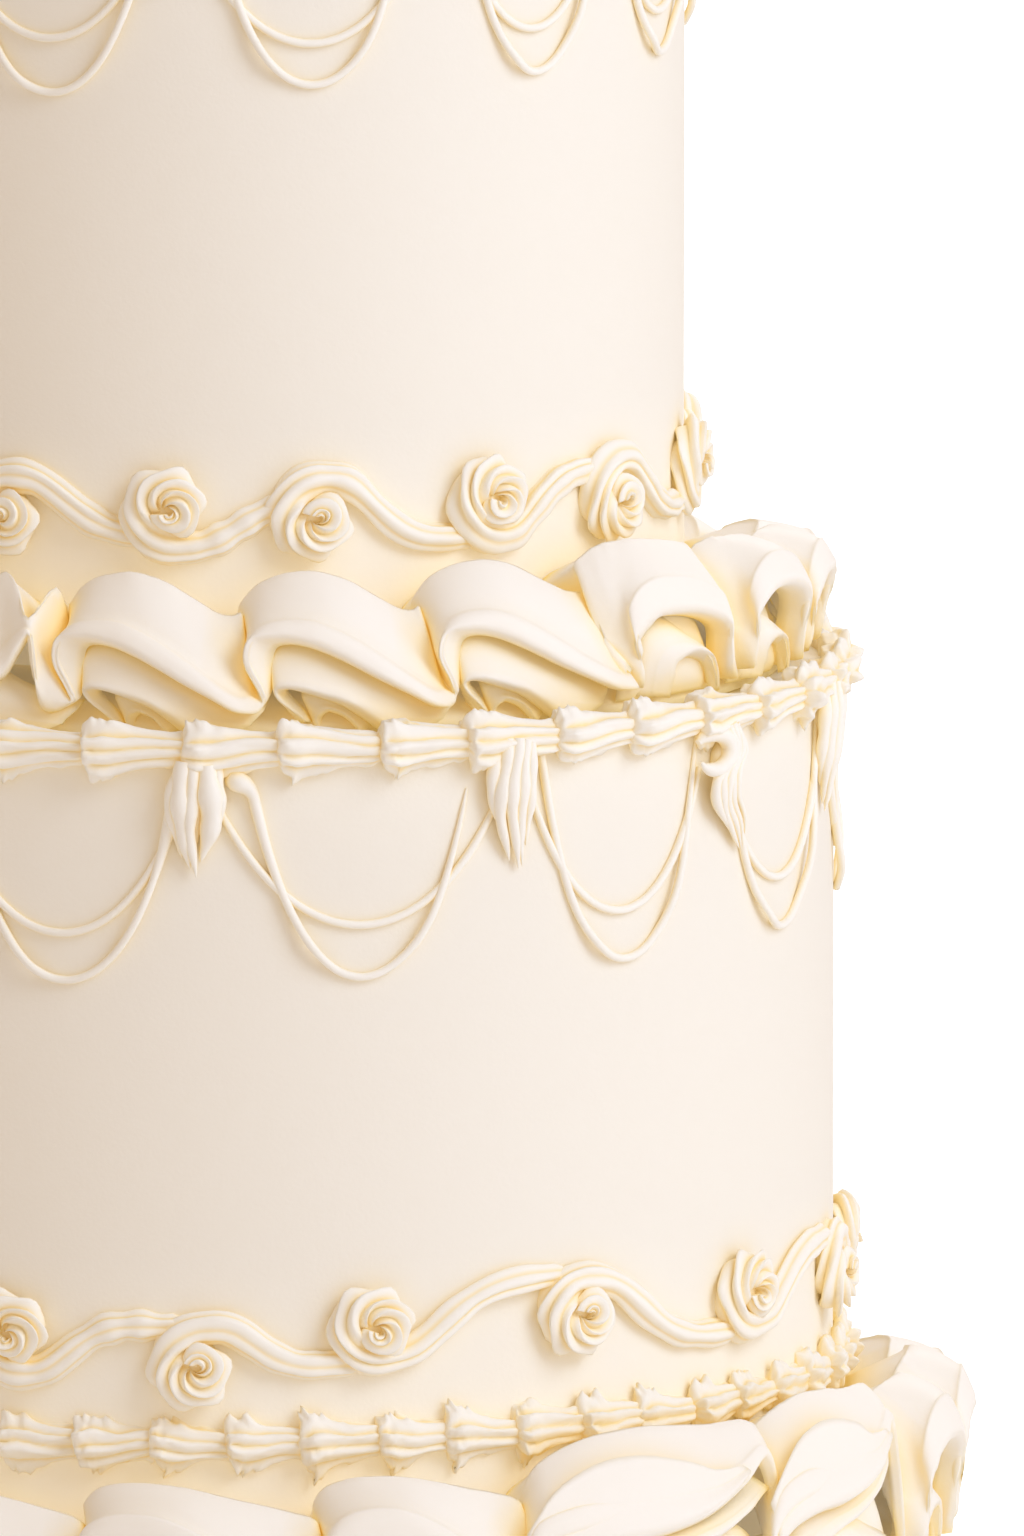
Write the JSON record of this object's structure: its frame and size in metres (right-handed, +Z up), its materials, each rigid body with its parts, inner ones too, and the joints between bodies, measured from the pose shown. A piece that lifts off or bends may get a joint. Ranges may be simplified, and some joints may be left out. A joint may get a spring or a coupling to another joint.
{
  "type": "lambeth cake",
  "caption": "Tiered round cake in ivory icing, with piped shells, scrolls, string swags and tassels round each tier and a ruffle at each foot.",
  "frame": {"origin": "middle of the flat base, on the surface that the cake stands on", "axes": "+Z up the cake; -Y towards the front that the picture shows; +X to its right"},
  "size_m": [0.2386, 0.2382, 0.2771],
  "materials": {
    "covering": "matte, a smooth ivory icing coat",
    "piped_cream": "soft satin, warm ivory piped icing",
    "ribbon_cream": "soft satin, warm ivory ribbon icing with rough edges"
  },
  "bodies": {
    "root": {"lower_tier": "covering", "upper_tier": "covering", "upper_edge_shells": "piped_cream", "lower_edge_shells": "piped_cream", "lower_band_shells": "piped_cream", "upper_scrolls": "piped_cream", "lower_scrolls": "piped_cream", "upper_stringwork": "piped_cream", "lower_stringwork": "piped_cream", "upper_ruffle": "ribbon_cream", "lower_ruffle": "ribbon_cream"}
  },
  "joints": []
}
